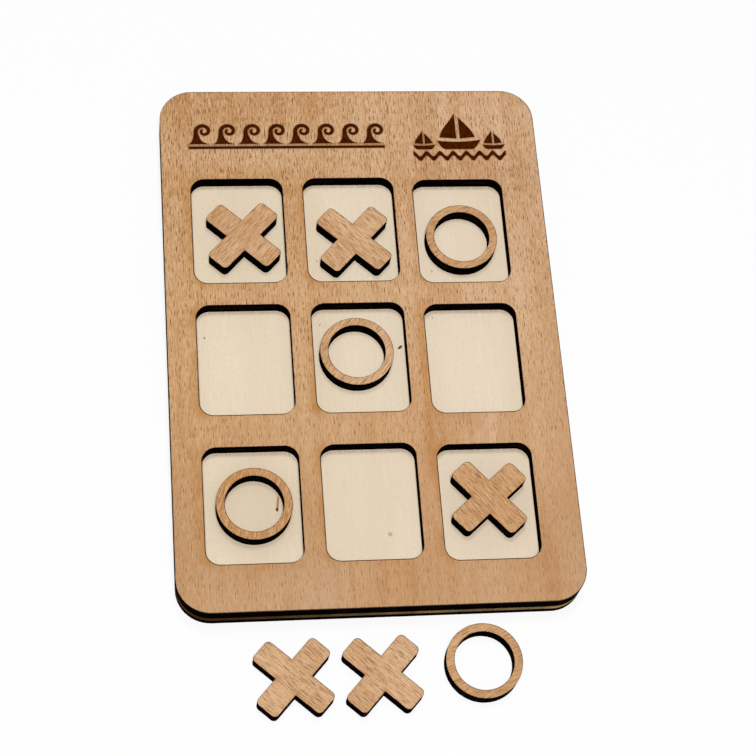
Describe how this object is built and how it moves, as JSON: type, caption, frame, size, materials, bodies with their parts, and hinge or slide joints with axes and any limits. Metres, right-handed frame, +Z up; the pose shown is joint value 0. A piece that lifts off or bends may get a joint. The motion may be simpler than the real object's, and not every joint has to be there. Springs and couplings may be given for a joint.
{
  "type": "noughts and crosses set",
  "caption": "Flat wooden noughts and crosses board with recessed windows, and loose cross and ring pieces that lift out of them.",
  "frame": {"origin": "middle of the board's underside, on the surface that the board and the loose pieces lie on", "axes": "+X to the player's right along the board's short side, +Y along its long side from the player to the wide ornamented margin, +Z up through the open windows"},
  "size_m": [0.1036, 0.1755, 0.008],
  "materials": {
    "beech_frame_plywood": "unfinished beech face with laser-charred cut edges",
    "pale_panel_plywood": "unfinished pale birch face with laser-charred cut edges",
    "beech_piece_plywood": "unfinished beech face with laser-charred cut edges"
  },
  "bodies": {
    "board": {"back_panel": "pale_panel_plywood", "window_frame": "beech_frame_plywood"},
    "cross_1": {"cross_1": "beech_piece_plywood"},
    "cross_2": {"cross_2": "beech_piece_plywood"},
    "cross_3": {"cross_3": "beech_piece_plywood"},
    "cross_4": {"cross_4": "beech_piece_plywood"},
    "cross_5": {"cross_5": "beech_piece_plywood"},
    "ring_1": {"ring_1": "beech_piece_plywood"},
    "ring_2": {"ring_2": "beech_piece_plywood"},
    "ring_3": {"ring_3": "beech_piece_plywood"},
    "ring_4": {"ring_4": "beech_piece_plywood"}
  },
  "joints": [
    {"name": "cross_1_lift", "type": "slide", "parent": "board", "child": "cross_1", "axis": [0, 0, 1], "range_m": [0, 0.03]},
    {"name": "cross_2_lift", "type": "slide", "parent": "board", "child": "cross_2", "axis": [0, 0, 1], "range_m": [0, 0.03]},
    {"name": "cross_3_lift", "type": "slide", "parent": "board", "child": "cross_3", "axis": [0, 0, 1], "range_m": [0, 0.03]},
    {"name": "cross_4_lift", "type": "slide", "parent": "board", "child": "cross_4", "axis": [0, 0, 1], "range_m": [0, 0.03]},
    {"name": "cross_5_lift", "type": "slide", "parent": "board", "child": "cross_5", "axis": [0, 0, 1], "range_m": [0, 0.03]},
    {"name": "ring_1_lift", "type": "slide", "parent": "board", "child": "ring_1", "axis": [0, 0, 1], "range_m": [0, 0.03]},
    {"name": "ring_2_lift", "type": "slide", "parent": "board", "child": "ring_2", "axis": [0, 0, 1], "range_m": [0, 0.03]},
    {"name": "ring_3_lift", "type": "slide", "parent": "board", "child": "ring_3", "axis": [0, 0, 1], "range_m": [0, 0.03]},
    {"name": "ring_4_lift", "type": "slide", "parent": "board", "child": "ring_4", "axis": [0, 0, 1], "range_m": [0, 0.03]}
  ]
}
